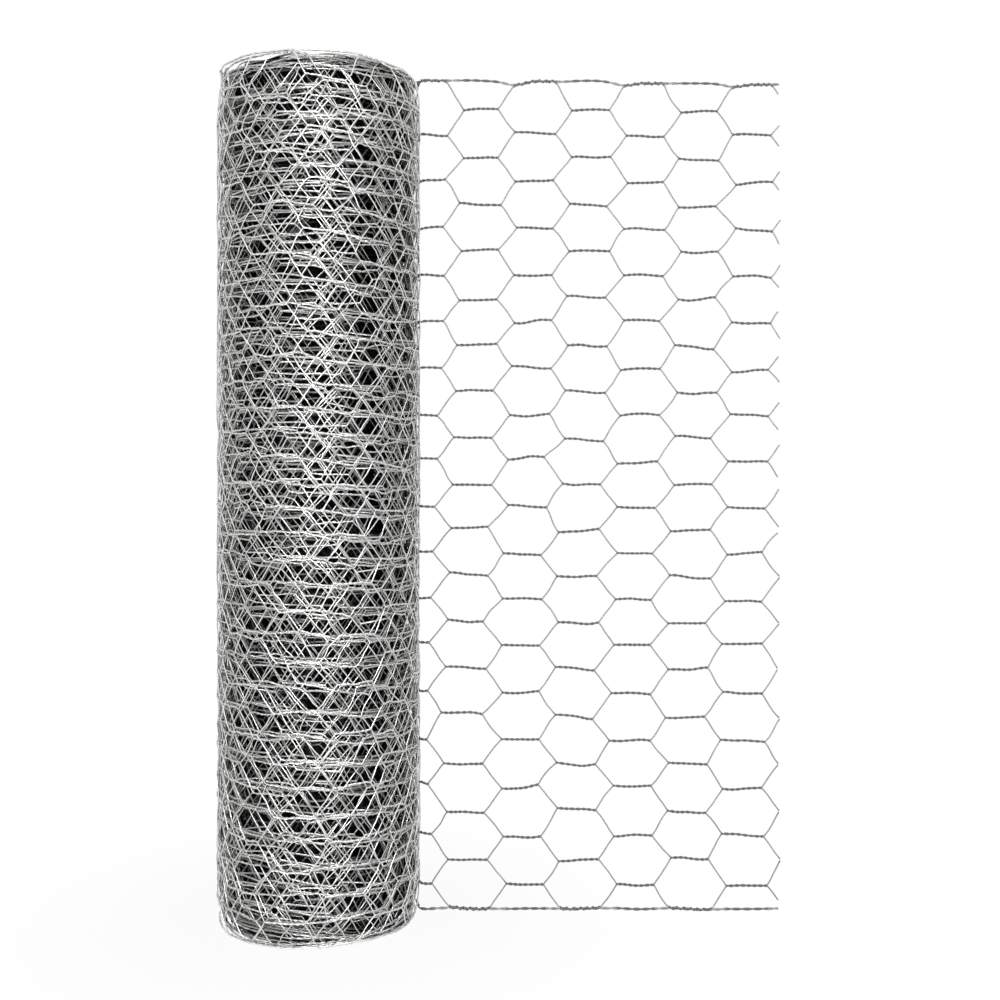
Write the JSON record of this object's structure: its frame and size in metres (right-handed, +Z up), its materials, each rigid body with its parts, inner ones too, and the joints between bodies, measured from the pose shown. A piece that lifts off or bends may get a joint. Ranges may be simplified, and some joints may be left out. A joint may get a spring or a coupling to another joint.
{
  "type": "roll of chicken wire",
  "caption": "Roll of galvanised hexagonal wire netting standing on its end, with its free end drawn out flat to one side.",
  "frame": {"origin": "centre of the roll's bore at its lower end", "axes": "+Z up along the roll's axis, +X towards the drawn-out end, and -Y is the side the picture shows"},
  "size_m": [0.618, 0.222, 0.9174],
  "materials": {
    "galvanised_wire": "dull galvanised wire"
  },
  "bodies": {
    "root": {"wound_roll": "galvanised_wire", "drawn_out_netting": "galvanised_wire"}
  },
  "joints": []
}
